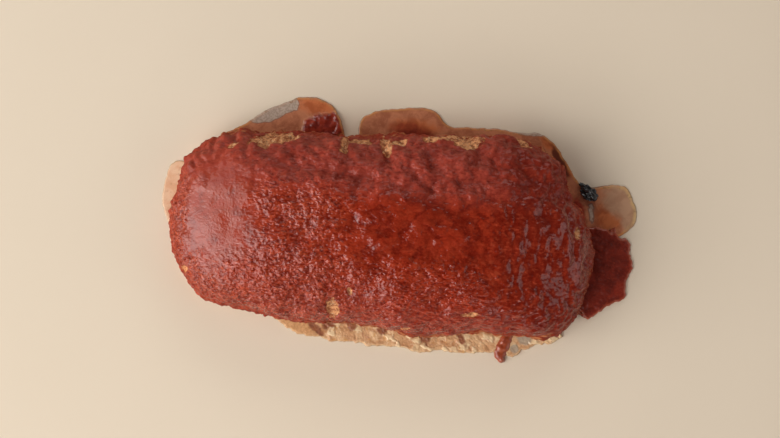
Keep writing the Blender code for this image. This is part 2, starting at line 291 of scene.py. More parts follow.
def fine_loaf():
    us = np.linspace(-1, 1, GRID_LONG + 1)
    vs = np.linspace(-1, 1, GRID_WIDE + 1)
    u, v = (g.ravel() for g in np.meshgrid(us, vs))
    p = dome(u, v)
    n = outward(u, v)
    x, y, z = p[:, 0] / MM, p[:, 1] / MM, p[:, 2] / MM
    angle = np.arctan2(p[:, 1], p[:, 0])
    rise = relief(p)

    bare = bare_share(p, angle)
    glaze = 1 - bare
    side = ease(52, 22, z)                                   # 0 on top, 1 down the side
    back = ease(14, 34, y + 3 * swell(p, 20 * MM, 81))
    left = ease(-76, -94, x + 9 * swell(p, 16 * MM, 82))
    right = ease(58, 88, x + 8 * swell(p, 18 * MM, 83))

    # the left end of the top lies smooth under the glaze
    flat_end = np.hypot((x + 106) / 30, (y - 2) / 35)
    ragged = z + 6.0 * swell(p, 12 * MM, 87) + 3.0 * swell(p, 5 * MM, 88)
    calmed = ease(1.35, 0.85, flat_end + 0.10 * swell(p, 14 * MM, 86)) * ease(30, 42, ragged)
    smooth = ease(1.10, 0.42, flat_end + 0.16 * swell(p, 11 * MM, 84) + 0.14 * swell(p, 5 * MM, 85)) * ease(28, 38, ragged)
    bend = np.stack([swell(p, 6 * MM, 121), swell(p, 6 * MM, 122), swell(p, 6 * MM, 123)], -1) * MM

    # the meat itself: plump lobes with creases between them, most at the back
    low = ease(36, 20, z)
    lobes = ridges(p + 1.6 * bend, 14.5 * MM, 91)
    small = ridges(p + 0.9 * bend, 8.0 * MM, 92)
    rise += MM * (lobes - 0.5) * (0.35 + 1.05 * back * ease(60, 44, z - 12) + 0.55 * side) * (1 - 0.93 * calmed)
    rise += MM * (small - 0.5) * (0.16 + 0.75 * back + 0.50 * side + 0.35 * low) * (1 - 0.95 * calmed)
    rise += MM * 0.85 * (ridges(p + 0.5 * bend, 4.6 * MM, 93) - 0.45) * np.maximum(0.60 * back, low) * (1 - 0.8 * calmed)
    rise += MM * 0.40 * (ridges(p, 2.6 * MM, 94) - 0.45) * np.maximum(0.55 * back, low) * (1 - 0.8 * calmed)
    for px, py, radius, depth in PITS:
        d2 = ((x - px) ** 2 + (y - py) ** 2) / radius ** 2
        rise -= MM * depth * np.exp(-d2) * ease(10, 22, z)

    # the glaze skin: its thickness, slack folds and wrinkles
    rise += glaze * 0.9 * MM * (1 + 0.25 * swell(p, 11 * MM, 95))
    rise += glaze * line_field(p, FOLDS) * (1 - 0.5 * smooth)
    run_y = ridges(stretched(p + 1.3 * bend, 87, 3.6), 7.8 * MM, 101)      # ridges along the loaf's width
    run_d = ridges(stretched(p + 0.6 * bend, 38, 2.0), 3.0 * MM, 102)      # slanting ones
    run_e = ridges(stretched(p + 0.6 * bend, 118, 2.0), 2.8 * MM, 106)     # slanting the other way
    run_f = ridges(stretched(p + 0.6 * bend, -12, 2.2), 3.0 * MM, 103)     # along the loaf
    turn = ease(-0.18, 0.18, swell(p, 26 * MM, 107))
    front = ease(-8, -30, y)
    w_y = right * (1 - 0.75 * back) * (1 - 0.70 * front)
    w_d = (1 - w_y) * ease(30, -30, x) * (1 - 0.5 * back)
    w_f = np.clip(1 - w_y - w_d, 0, 1)
    wide_y = ridges(stretched(p + 1.8 * bend, 84, 2.8), 11.0 * MM, 108)
    wrinkle = (run_y * 0.70 + wide_y * 0.95) * w_y + (run_d * turn + run_e * (1 - turn)) * w_d + run_f * w_f * (0.75 + 0.4 * front)
    calm = (1 - 0.96 * smooth) * (1 - 0.45 * calmed) * (1 - 0.20 * back)
    lively = ease(-5, -40, x) * ease(34, 14, y)              # where the wrinkles are deepest
    end = right * (1 - back)
    amp = calm * (0.42 + 0.62 * lively + (0.60 - 0.45 * right) * front + 0.50 * end * (1 - 0.6 * side * front) + 0.30 * back)
    rise += glaze * np.clip(amp, 0, 1.15) * MM * (0.55 + 0.45 * end) * (wrinkle - 0.35)
    rise += glaze * calm * MM * 0.22 * swell(p, 5.5 * MM, 104) * (1 + 0.9 * front + 0.6 * end)
    rise += glaze * smooth * MM * (0.26 * swell(p, 13 * MM, 105) + 0.07 * swell(p, 5 * MM, 109))
    # slack, silky folds over the middle of the top
    middle = ease(-70, -48, x) * ease(92, 60, x) * ease(-34, -16, y) * ease(44, 26, y)
    silky = ridges(stretched(p + 2.6 * bend, 34, 2.3), 12.5 * MM, 141) * 0.75 + ridges(stretched(p + 1.6 * bend, -28, 2.0), 7.5 * MM, 142) * 0.45
    rise += glaze * middle * MM * 0.85 * (silky - 0.45)

    # browned strands of meat drawn along the lower edge
    edge_of = np.maximum.reduce([ease(-38, -50, y) * ease(-42, -28, x) * ease(122, 108, x), 0.75 * ease(42, 52, y),
                                 0.55 * ease(112, 124, x), 0.12 * np.ones(len(p))])
    strand = ridges(stretched(p + 0.8 * bend, 2, 4.0) * (1, 1, 1.2), 2.7 * MM, 131)
    fringe = edge_of * ease(30, 23, z + 5.5 * swell(p, 9 * MM, 132) + 3.0 * swell(p, 3.5 * MM, 133))
    rise += MM * 0.45 * fringe * (strand - 0.4)

    # the browned meat: crumbs of mince
    grain = ridges(p, 3.4 * MM, 111) * 0.65 + ridges(p, 2.2 * MM, 112) * 0.35
    rise += bare * MM * 0.75 * (grain - 0.45)
    rise *= ease(0.0, 3.0, z)
    q = p + n * rise[:, None]
    rim = (np.abs(u) > 1 - 1e-9) | (np.abs(v) > 1 - 1e-9)
    q[rim, 2] = 0.0
    q[:, 2] = np.maximum(q[:, 2], 0.0)

    row = GRID_LONG + 1
    i, j = np.meshgrid(np.arange(GRID_LONG), np.arange(GRID_WIDE))
    a = (j * row + i).ravel()
    quads = np.stack([a, a + 1, a + row + 1, a + row], -1)
    ring_ids = np.r_[np.arange(0, GRID_LONG), GRID_LONG + row * np.arange(0, GRID_WIDE),
                     row * GRID_WIDE + np.arange(GRID_LONG, 0, -1), row * np.arange(GRID_WIDE, 0, -1)]
    middle = len(q)
    q = np.vstack([q, [[0.0, 0.0, 0.0]]])
    tris = np.stack([ring_ids, np.full(len(ring_ids), middle), np.roll(ring_ids, -1)], -1)
    extra = lambda a: np.r_[a, 0.0]
    facts = dict(bare=extra(bare), smooth=extra(smooth), back=extra(back), right=extra(right),
                 left=extra(left), ridge=extra(np.clip(wrinkle, 0, 1.4) / 1.4), amp=extra(amp),
                 front=extra(front), turn=extra(turn), low=extra(low), strand=extra(np.clip(strand, 0, 1) * fringe), fringe=extra(fringe),
                 silky=extra(np.clip((silky - 0.45) * middle, -0.5, 0.5) + 0.5), lively=extra(lively),
                 lobe_crease_shade=extra(np.clip(-(lobes - 0.5) * back * 1.2, -1, 1) * 0.5 + 0.5), side=extra(side))
    uv_top = np.stack([0.02 + 0.96 * (u + 1) / 2, 0.40 + 0.58 * (v + 1) / 2], -1)
    uv_low = np.stack([0.16 + 0.68 * (q[:, 0] / LOAF_LENGTH + 0.5), 0.02 + 0.34 * (q[:, 1] / LOAF_WIDTH + 0.5)], -1)
    return q, quads, tris, facts, np.vstack([uv_top, [[0, 0]]]), uv_low


def build(name, points, faces, facts=None, uv=None, smooth=True):
    """A mesh object from arrays. faces is a list of index arrays."""
    mesh = bpy.data.meshes.new(name)
    loops = np.concatenate([f.ravel() for f in faces]).astype(np.int32)
    sizes = np.concatenate([np.full(len(f), f.shape[1]) for f in faces]).astype(np.int32)
    starts = np.r_[0, np.cumsum(sizes)[:-1]].astype(np.int32)
    mesh.vertices.add(len(points))
    mesh.vertices.foreach_set("co", np.asarray(points, np.float32).ravel())
    mesh.loops.add(len(loops))
    mesh.loops.foreach_set("vertex_index", loops)
    mesh.polygons.add(len(sizes))
    mesh.polygons.foreach_set("loop_start", starts)
    mesh.update(calc_edges=True)
    mesh.validate()
    for key, values in (facts or {}).items():
        layer = mesh.attributes.new(key, "FLOAT", "POINT")
        layer.data.foreach_set("value", np.asarray(values, np.float32))
    if uv is not None:
        layer = mesh.uv_layers.new(name="OFBake")
        layer.data.foreach_set("uv", np.asarray(uv, np.float32).ravel())
    made = bpy.data.objects.new(name, mesh)
    bpy.context.scene.collection.objects.link(made)
    made.location = CENTRE
    if smooth:
        mesh.shade_smooth()
    return made


# ---------------------------------------------------------------- node helper
class Nodes:
    """Shorthand for building a material's node tree."""

    def __init__(self, name):
        self.mat = bpy.data.materials.new(name)
        self.mat.use_nodes = True
        self.tree = self.mat.node_tree
        self.shader = self.tree.nodes["Principled BSDF"]
        self.place = self.add("ShaderNodeTexCoord").outputs["Object"]

    def add(self, kind, **values):
        node = self.tree.nodes.new(kind)
        for key, value in values.items():
            setattr(node, key, value)
        return node

    def put(self, socket, value):
        if isinstance(value, bpy.types.NodeSocket):
            self.tree.links.new(value, socket)
        else:
            socket.default_value = value

    def fact(self, name):
        return self.add("ShaderNodeAttribute", attribute_name=name).outputs["Fac"]

    def noise(self, size_mm, detail=2.0, rough=0.5, distort=0.0, place=None, kind="FBM"):
        n = self.add("ShaderNodeTexNoise", noise_dimensions="3D", noise_type=kind)
        self.put(n.inputs["Vector"], place or self.place)
        n.inputs["Scale"].default_value = 1000.0 / size_mm
        n.inputs["Detail"].default_value = detail
        n.inputs["Roughness"].default_value = rough
        n.inputs["Distortion"].default_value = distort
        return n.outputs["Fac"]

    def cells(self, size_mm, feature="F1", place=None, smooth=0.0):
        n = self.add("ShaderNodeTexVoronoi", voronoi_dimensions="3D", feature=feature)
        self.put(n.inputs["Vector"], place or self.place)
        n.inputs["Scale"].default_value = 1000.0 / size_mm
        if feature == "SMOOTH_F1":
            n.inputs["Smoothness"].default_value = smooth
        return n.outputs["Distance"]

    def scaled(self, sx, sy, sz, turn=0.0):
        m = self.add("ShaderNodeMapping")
        self.put(m.inputs["Vector"], self.place)
        m.inputs["Scale"].default_value = (sx, sy, sz)
        m.inputs["Rotation"].default_value = (0, 0, math.radians(turn))
        return m.outputs["Vector"]

    def math(self, op, a, b=None, c=None, clamp=False):
        n = self.add("ShaderNodeMath", operation=op, use_clamp=clamp)
        for socket, value in zip(n.inputs, (a, b, c)):
            if value is not None:
                self.put(socket, value)
        return n.outputs[0]

    def step(self, value, lo, hi, out_lo=0.0, out_hi=1.0):
        n = self.add("ShaderNodeMapRange", interpolation_type="SMOOTHSTEP")
        self.put(n.inputs["Value"], value)
        n.inputs["From Min"].default_value = lo
        n.inputs["From Max"].default_value = hi
        n.inputs["To Min"].default_value = out_lo
        n.inputs["To Max"].default_value = out_hi
        return n.outputs["Result"]

    def mix(self, fac, a, b, mode="MIX"):
        n = self.add("ShaderNodeMix", data_type="RGBA", blend_type=mode)
        self.put(n.inputs[0], fac)
        for socket, value in ((n.inputs[6], a), (n.inputs[7], b)):
            self.put(socket, (*value, 1.0) if isinstance(value, tuple) and len(value) == 3 else value)
        return n.outputs[2]

    def blend(self, fac, a, b):
        n = self.add("ShaderNodeMix", data_type="FLOAT")
        self.put(n.inputs[0], fac)
        self.put(n.inputs[2], a)
        self.put(n.inputs[3], b)
        return n.outputs[0]

    def bump(self, height, mm=1.0, under=None):
        """height in millimetres."""
        n = self.add("ShaderNodeBump")
        self.put(n.inputs["Height"], height)
        n.inputs["Strength"].default_value = 1.0
        n.inputs["Distance"].default_value = 0.001 * mm
        if under is not None:
            self.put(n.inputs["Normal"], under)
        return n.outputs["Normal"]

    def set(self, **values):
        for key, value in values.items():
            self.put(self.shader.inputs[key.replace("_", " ")], value)


def srgb(r, g, b):
    def lin(c):
        c /= 255.0
        return c / 12.92 if c <= 0.04045 else ((c + 0.055) / 1.055) ** 2.4
    return (lin(r), lin(g), lin(b))


# ------------------------------------------------------------------ materials
def glazed_meat():
    m = Nodes("glazed_meat")
    bare, smooth, back = m.fact("bare"), m.fact("smooth"), m.fact("back")
    right, left, ridge, side = m.fact("right"), m.fact("left"), m.fact("ridge"), m.fact("side")
    amp, turn, front = m.fact("amp"), m.fact("turn"), m.fact("front")
    strand, fringe, low, lobe_crease_shade = m.fact("strand"), m.fact("fringe"), m.fact("low"), m.fact("lobe_crease_shade")
    silky, lively = m.fact("silky"), m.fact("lively")
    # glaze colour: deep brick red, browner and darker in the hollows as painted shade, more orange where it is thin
    broad = m.noise(19, 3, 0.55, 0.3)
    mottle = m.noise(6.0, 3, 0.6, 0.3)
    fine = m.noise(2.0, 3, 0.62)
    lumpy = m.math("MULTIPLY", m.math("SUBTRACT", 1.0, m.math("MULTIPLY", smooth, 0.8)), m.step(amp, 0.30, 0.90, 0.36, 1.0))
    red = m.mix(m.step(broad, 0.36, 0.64), (0.162, 0.0090, 0.0024), (0.292, 0.0200, 0.0056))
    soft = m.math("ADD", silky, m.math("MULTIPLY", m.math("SUBTRACT", mottle, 0.5), 0.8))
    red = m.mix(m.math("MULTIPLY", m.step(soft, 0.50, 1.00), 0.34), red, (0.430, 0.0420, 0.0130))
    # painted shade: darker in the valleys of the silky folds over the middle of the top, and darker in random
    # mottled patches
    red = m.mix(m.math("MULTIPLY", m.step(soft, 0.46, 0.10), 0.55), red, (0.150, 0.0080, 0.0024))
    red = m.mix(m.math("MULTIPLY", m.step(mottle, 0.42, 0.70), 0.48), red, (0.395, 0.042, 0.0155))
    red = m.mix(m.math("MULTIPLY", m.math("MULTIPLY", m.step(fine, 0.50, 0.72), 0.55), lumpy), red, (0.50, 0.066, 0.026))
    red = m.mix(m.math("MULTIPLY", m.math("MULTIPLY", m.step(fine, 0.46, 0.30), m.blend(lively, 0.65, 0.60)), lumpy), red, (0.160, 0.0085, 0.0030))
    # painted shade: the valleys of the mesh wrinkles are darkened
    red = m.mix(m.math("MULTIPLY", m.math("MULTIPLY", m.step(ridge, 0.34, 0.02), m.blend(lively, 0.70, 0.65)), lumpy), red, (0.150, 0.0080, 0.0028))
    red = m.mix(m.math("MULTIPLY", lively, 0.18), red, (0.460, 0.074, 0.0320))
    red = m.mix(m.math("MULTIPLY", front, 0.17), red, (0.480, 0.056, 0.0200))
    red = m.mix(m.math("MULTIPLY", back, 0.60), red, (0.375, 0.066, 0.0440))
    # painted shade: the creases between the lobes at the back are darkened
    red = m.mix(m.math("MULTIPLY", m.step(lobe_crease_shade, 0.62, 0.98), 0.75), red, (0.130, 0.0120, 0.0070))
    red = m.mix(m.math("MULTIPLY", m.math("MULTIPLY", left, m.blend(back, 0.60, 0.25)), m.step(mottle, 0.3, 0.6)), red, (0.33, 0.054, 0.026))
    red = m.mix(m.math("MULTIPLY", m.math("MULTIPLY", side, 0.40), m.step(mottle, 0.35, 0.6)), red, (0.37, 0.050, 0.020))
    red = m.mix(m.math("MULTIPLY", m.math("MULTIPLY", right, 0.78), m.step(mottle, 0.16, 0.54)), red, (0.185, 0.0130, 0.0050))
    red = m.mix(m.math("MULTIPLY", m.math("MULTIPLY", right, 0.42), m.step(m.noise(3.6, 2, 0.6, 0.0, m.scaled(1.0, 0.5, 1.0)), 0.50, 0.70)), red, (0.37, 0.046, 0.018))
    # painted shade darkens the furrows of the fine wrinkles, and painted highlight makes their crests paler
    slant = m.noise(1.65, 1.2, 0.50, 0.5, m.scaled(0.45, 1.0, 1.0, -38))
    other = m.noise(1.60, 1.2, 0.50, 0.5, m.scaled(0.45, 1.0, 1.0, -118))
    diagonal = m.blend(turn, other, slant)
    # painted shade in the furrows of the fine wrinkles
    red = m.mix(m.math("MULTIPLY", m.math("MULTIPLY", m.step(diagonal, 0.48, 0.34), m.blend(left, 0.75, 0.50)), lumpy), red, (0.165, 0.0085, 0.0030))
    # painted highlight on the crests of the fine wrinkles
    red = m.mix(m.math("MULTIPLY", m.math("MULTIPLY", m.step(diagonal, 0.54, 0.70), m.blend(lively, 0.25, 0.50)), lumpy), red, (0.62, 0.105, 0.045))
    # browned strands along the lower edge
    threads = m.noise(1.5, 2, 0.6, 0.7, m.scaled(0.28, 1.0, 1.0, 0))
    red = m.mix(m.math("MULTIPLY", fringe, 0.55), red, (0.300, 0.044, 0.0150))
    red = m.mix(m.math("MULTIPLY", m.step(m.math("MULTIPLY", strand, m.math("ADD", threads, 0.45)), 0.30, 0.78), 0.72), red, (0.56, 0.215, 0.085))
    # browned meat: tan mince with brown crust and pale fat
    grain = m.noise(2.4, 3, 0.62, 0.4)
    crust = m.noise(8.0, 3, 0.6)
    tan = m.mix(m.step(grain, 0.36, 0.62), (0.360, 0.108, 0.042), (0.93, 0.450, 0.205))
    tan = m.mix(m.math("MULTIPLY", m.step(crust, 0.44, 0.66), 0.50), tan, (0.430, 0.118, 0.046))
    tan = m.mix(m.step(m.noise(1.5, 2, 0.5), 0.58, 0.70, 0, 0.75), tan, (0.90, 0.62, 0.36))
    bare_sharp = m.step(m.math("ADD", bare, m.math("MULTIPLY", m.math("SUBTRACT", m.noise(1.6, 2, 0.5), 0.5), 1.1)), 0.36, 0.64)
    edge = m.math("MULTIPLY", m.step(bare, 0.05, 0.45), m.step(bare, 0.95, 0.55))
    colour = m.mix(bare_sharp, red, tan)
    colour = m.mix(m.math("MULTIPLY", edge, 0.40), colour, (0.36, 0.068, 0.022))
    # fine wrinkles, in millimetres, running as the larger ones do
    upright = m.noise(6.4, 1.4, 0.40, 0.8, m.scaled(1.0, 0.30, 0.7, 3))
    fold = m.blend(m.math("MULTIPLY", right, 0.85), diagonal, m.math("ADD", m.math("MULTIPLY", upright, 0.8), m.math("MULTIPLY", diagonal, 0.14)))
    pebble = m.cells(2.1, "SMOOTH_F1", smooth=0.5)
    still = m.math("SUBTRACT", 1.0, m.math("MULTIPLY", right, 0.85))
    skin = m.math("MULTIPLY", m.math("ADD", m.math("MULTIPLY", fold, 0.98), m.math("MULTIPLY", pebble, m.math("MULTIPLY", still, -0.42))), amp)
    silk = m.math("ADD", m.math("MULTIPLY", m.noise(1.4, 0.5, 0.5), m.math("MULTIPLY", still, 0.09)), m.math("MULTIPLY", m.noise(2.6, 2, 0.60, 0.4), m.math("MULTIPLY", smooth, 0.26)))
    crumb = m.math("MULTIPLY", m.math("ADD", m.noise(1.8, 4, 0.7, 0.6), m.math("MULTIPLY", m.noise(0.6, 2, 0.6), 0.35)), 0.85)
    height = m.blend(bare_sharp, m.math("ADD", skin, silk), crumb)
    height = m.math("ADD", height, m.math("MULTIPLY", m.math("MULTIPLY", fringe, threads), 0.5))
    normal = m.bump(height)
    dull = m.math("MAXIMUM", bare_sharp, m.math("MULTIPLY", fringe, 0.6))
    shine = m.math("MULTIPLY", m.math("MAXIMUM", m.step(amp, 0.30, 0.80), 0.0), m.math("SUBTRACT", 1.0, m.math("MULTIPLY", low, 0.8)))
    rough = m.blend(m.math("MAXIMUM", bare_sharp, m.math("MULTIPLY", back, 0.8)), m.blend(shine, 0.50, 0.20), 0.62)
    wet = m.math("MULTIPLY", m.blend(dull, m.blend(back, 1.0, 0.42), 0.10), m.math("SUBTRACT", 1.0, m.math("MULTIPLY", low, 0.72)))
    # little light is mirrored from the bottom of a furrow
    shut = m.math("MAXIMUM", m.step(ridge, 0.34, 0.06), m.math("MULTIPLY", m.step(diagonal, 0.47, 0.37), 0.6))
    shut = m.math("MULTIPLY", m.math("MULTIPLY", shut, m.step(amp, 0.15, 0.55)), m.blend(right, 0.75, 0.60))
    wet = m.math("MULTIPLY", wet, m.math("SUBTRACT", 1.0, shut))
    m.set(Base_Color=colour, Roughness=rough, Normal=normal, Coat_Weight=wet, Coat_Roughness=0.075)
    m.shader.inputs["Coat IOR"].default_value = 1.48
    m.shader.inputs["IOR"].default_value = 1.40
    m.shader.inputs["Specular IOR Level"].default_value = 0.06
    m.put(m.shader.inputs["Coat Normal"], normal)
    return m.mat


# ----------------------------------------------------------------- the pieces
points, quads, tris, facts, uv_top, uv_low = fine_loaf()
uv = np.concatenate([uv_top[quads].reshape(-1, 2), uv_low[tris].reshape(-1, 2)])
loaf = build("glazed_loaf", points, [quads, tris], facts, uv)
loaf.data.materials.append(glazed_meat())
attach(loaf, "root")
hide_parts("meatloaf")


# ------------------------------------------------------- what ran down and set
def smooth_path(knots, count):
    """Evenly spaced points on a rounded curve through knots."""
    k = np.asarray(knots, float)
    k = np.vstack([2 * k[0] - k[1], k, 2 * k[-1] - k[-2]])
    out = []
    for a, b, c, d in zip(k[:-3], k[1:-2], k[2:-1], k[3:]):
        t = np.linspace(0, 1, 30, endpoint=False)[:, None]
        out.append(0.5 * (2 * b + (c - a) * t + (2 * a - 5 * b + 4 * c - d) * t ** 2
                          + (3 * b - a - 3 * c + d) * t ** 3))
    line = np.vstack(out + [k[-2][None]])
    way = np.r_[0, np.cumsum(np.hypot(*np.diff(line, axis=0).T))]
    at = np.linspace(0, way[-1], count)
    return np.stack([np.interp(at, way, line[:, 0]), np.interp(at, way, line[:, 1])], -1)


def nearest(points, line):
    """Distance from each point to the nearest point of line."""
    out = np.empty(len(points))
    for s in range(0, len(points), 4000):
        part = points[s:s + 4000]
        out[s:s + 4000] = np.sqrt(((part[:, None, :] - line[None]) ** 2).sum(-1)).min(1)
    return out


def spot(xy, x, y, rx, ry, turn=0.0, soft=0.35, seed=500, rag=0.25, wave=4.0):
    """A ragged-edged oval, 1 inside and 0 outside (mm, degrees)."""
    c, s = math.cos(math.radians(turn)), math.sin(math.radians(turn))
    dx, dy = xy[:, 0] - x, xy[:, 1] - y
    d = np.sqrt(((dx * c + dy * s) / rx) ** 2 + ((-dx * s + dy * c) / ry) ** 2)
    p = np.stack([xy[:, 0], xy[:, 1], np.zeros(len(xy))], -1)
    d = d + rag * swell(p, wave, seed) + 0.5 * rag * swell(p, wave * 0.4, seed + 1)
    return ease(1 + soft / 2, 1 - soft / 2, d)


def film(name, first, last, outline, thick, across, rows, rag=0.5, seed=600, rim=1.3, relief_of=None, facts_of=None, under=3.0):
    """A thin set film from under the loaf's foot out to its own outline.
    first and last are degrees round the loaf; lengths are in millimetres."""
    angle = np.radians(np.linspace(first, last, rows + 1))
    bx, by = (b / MM for b in belly_line(angle))
    away = np.hypot(bx, by)
    inset = (FOOT_INSET / MM + under) / away
    inner = np.stack([bx * (1 - inset), by * (1 - inset)], -1)
    outer = smooth_path(outline, rows + 1)
    run = np.gradient(outer, axis=0)
    side = np.stack([run[:, 1], -run[:, 0]], -1)
    side /= np.maximum(np.linalg.norm(side, axis=1, keepdims=True), 1e-9)
    if ((outer - inner) * side).sum() < 0:
        side = -side
    o3 = np.stack([outer[:, 0], outer[:, 1], np.zeros(rows + 1)], -1)
    ends = np.minimum(np.arange(rows + 1), np.arange(rows, -1, -1)) / 6.0
    shift = rag * (swell(o3, 5.0, seed) + 0.55 * swell(o3, 2.2, seed + 1)) * np.clip(ends, 0, 1)
    outer = outer + side * shift[:, None]
    t = (1 - (1 - np.linspace(0, 1, across + 1)) ** 1.25)[None, :, None]
    grid = inner[:, None, :] * (1 - t) + outer[:, None, :] * t
    xy = grid.reshape(-1, 2)
    border = np.vstack([outer, inner[0][None] + (outer[0] - inner[0]) * np.linspace(0, 1, 40)[:, None],
                        inner[-1][None] + (outer[-1] - inner[-1]) * np.linspace(0, 1, 40)[:, None]])
    gap = nearest(xy, border)
    lift = np.clip(gap / rim, 0, 1)
    lift = np.sqrt(np.clip(1 - (1 - lift) ** 2, 0, 1))
    z = (thick + (relief_of(xy, gap) if relief_of else 0.0)) * lift
    z = np.maximum(z, 0.0)
    top = np.stack([xy[:, 0], xy[:, 1], z], -1).reshape(rows + 1, across + 1, 3)
    top[:, -1, 2] = 0.0
    n_top = (rows + 1) * (across + 1)
    below = np.stack([inner[:, 0], inner[:, 1], np.zeros(rows + 1)], -1)
    verts = np.vstack([top.reshape(-1, 3), below]) * MM
    w = across + 1
    i, j = (g.ravel() for g in np.meshgrid(np.arange(rows), np.arange(across), indexing="ij"))
    a = i * w + j
    quads = [np.stack([a, a + 1, a + w + 1, a + w], -1)]
    k = np.arange(rows)
    low = n_top + k
    quads.append(np.stack([low, k * w, (k + 1) * w, low + 1], -1))                       # wall under the loaf
    quads.append(np.stack([k * w + across, low, low + 1, (k + 1) * w + across], -1))     # the flat underside
    caps = [np.r_[n_top, np.arange(across, -1, -1)][None], np.r_[n_top + rows, rows * w + np.arange(0, across + 1)][None]]
    tri = []
    for base, row_start, flip in ((n_top, 0, False), (n_top + rows, rows * w, True)):
        ids = row_start + np.arange(across + 1)
        fan = np.stack([np.full(across, base), ids[1:], ids[:-1]], -1)
        tri.append(fan[:, ::-1] if flip else fan)
    faces = quads + tri
    uv = film_uv(verts, faces, n_top)
    facts = {"rim": np.r_[np.clip(gap, 0, 20), np.zeros(rows + 1)]}
    for key, values in (facts_of(xy, gap) if facts_of else {}).items():
        facts[key] = np.r_[values, np.zeros(rows + 1)]
    made = build(name, verts, faces, facts, uv)
    outward_faces(made)
    return made


def film_uv(verts, faces, n_top):
    """The film laid flat from above; what faces down goes beside it."""
    low, high = verts[:, :2].min(0), verts[:, :2].max(0)
    span = (high - low).max()
    flat = (verts[:, :2] - low) / span
    tall = (high[1] - low[1]) / span
    out = []
    for n, f in enumerate(faces):
        place = flat[f]
        if n == 0:
            place = place * 0.96 + 0.02
        elif n == 2:
            place = place * 0.30 + (0.02, 0.04 + 0.96 * tall) if tall < 0.6 else place * 0.01 + 0.001
        else:
            place = place * 0.01 + (0.985, 0.001)
        out.append(np.asarray(place).reshape(-1, 2))
    return np.vstack(out)


def outward_faces(made):
    bm = bmesh.new()
    bm.from_mesh(made.data)
    bmesh.ops.recalc_face_normals(bm, faces=bm.faces)
    bm.to_mesh(made.data)
    bm.free()
    made.data.shade_smooth()
    made.data.set_sharp_from_angle(angle=math.radians(60))


def flat3(xy):
    return np.stack([xy[:, 0], xy[:, 1], np.zeros(len(xy))], -1)


def juice(name):
    """Set meat juice: brown and clear, darker where deep, amber at its rim; its dark strips along the loaf's foot
    are partly painted shade.
    """
    m = Nodes(name)
    rim, red, pale, warm, dark, grey = (m.fact(k) for k in ("rim", "red", "pale", "warm", "dark", "grey"))
    cloud = m.noise(9, 3, 0.6, 0.5)
    fine = m.noise(1.6, 3, 0.6)
    speck = m.noise(2.6, 2, 0.6)
    tone = m.mix(m.step(cloud, 0.34, 0.66), (0.425, 0.136, 0.064), (0.605, 0.230, 0.112))
    tone = m.mix(m.math("MULTIPLY", m.step(fine, 0.5, 0.75), 0.30), tone, (0.76, 0.33, 0.17))
    tone = m.mix(warm, tone, m.mix(m.step(cloud, 0.4, 0.6), (0.475, 0.116, 0.038), (0.625, 0.180, 0.062)))
    tone = m.mix(grey, tone, m.mix(m.step(cloud, 0.35, 0.65), (0.500, 0.262, 0.150), (0.590, 0.335, 0.200)))
    outline = m.math("MULTIPLY", m.step(pale, 0.02, 0.35), m.step(pale, 0.90, 0.50))
    tone = m.mix(pale, tone, m.mix(m.step(m.noise(1.4, 2, 0.6), 0.35, 0.65), (0.42, 0.310, 0.235), (0.57, 0.440, 0.345)))
    tone = m.mix(m.math("MULTIPLY", outline, 0.65), tone, (0.200, 0.082, 0.050))
    # dark juice, and painted shade in the gap along the loaf's foot
    tone = m.mix(m.math("MULTIPLY", dark, 0.9), tone, (0.125, 0.022, 0.010))
    tone = m.mix(red, tone, m.mix(m.step(m.noise(3.5, 3, 0.6), 0.38, 0.62), (0.205, 0.0150, 0.0060), (0.360, 0.040, 0.0170)))
    reach = m.blend(grey, 2.4, 3.6)
    near = m.math("SUBTRACT", 1.0, m.math("DIVIDE", rim, reach), None, True)
    edge = m.math("MULTIPLY", m.step(near, 0.08, 0.60), m.step(m.noise(6, 2, 0.5), 0.32, 0.58, 0.30, 0.95))
    tone = m.mix(m.math("MULTIPLY", edge, m.math("SUBTRACT", 1.0, m.math("MULTIPLY", pale, 0.8))), tone,
                 m.mix(grey, (0.60, 0.240, 0.075), (0.70, 0.455, 0.210)))
    tone = m.mix(m.math("MULTIPLY", m.math("MULTIPLY", edge, m.step(speck, 0.56, 0.64)), 0.7), tone, (0.30, 0.160, 0.065))
    tone = m.mix(m.math("MULTIPLY", m.step(rim, 0.50, 0.10), 0.50), tone, (0.260, 0.150, 0.080))
    ripple = m.math("ADD", m.math("MULTIPLY", m.noise(4.5, 2, 0.5), 0.16), m.math("MULTIPLY", fine, 0.07))
    m.set(Base_Color=tone, Roughness=0.36, Coat_Weight=0.75, Coat_Roughness=0.12,
          Normal=m.bump(ripple))
    m.shader.inputs["Specular IOR Level"].default_value = 0.30
    return m.mat


def dark_glaze():
    """The same glaze where it pooled and cooked down: nearly brown-black red."""
    m = Nodes("dark_glaze")
    rim = m.fact("rim")
    cloud = m.noise(10, 3, 0.6, 0.3)
    fine = m.noise(1.7, 3, 0.62)
    tone = m.mix(m.step(cloud, 0.35, 0.65), (0.150, 0.0115, 0.0042), (0.270, 0.0225, 0.0080))
    tone = m.mix(m.math("MULTIPLY", m.step(fine, 0.5, 0.75), 0.50), tone, (0.400, 0.055, 0.021))
    tone = m.mix(m.step(rim, 2.4, 0.2, 0, 0.8), tone, (0.46, 0.095, 0.040))
    folds = m.noise(1.9, 2.5, 0.6, 0.6, m.scaled(0.6, 1.0, 1.0, 35))
    m.set(Base_Color=tone, Roughness=0.42, Coat_Weight=m.step(cloud, 0.35, 0.6, 0.25, 0.9), Coat_Roughness=0.16,
          Normal=m.bump(m.math("ADD", m.math("MULTIPLY", folds, 0.42), m.math("MULTIPLY", m.noise(6, 2), 0.5))))
    m.shader.inputs["Specular IOR Level"].default_value = 0.30
    return m.mat


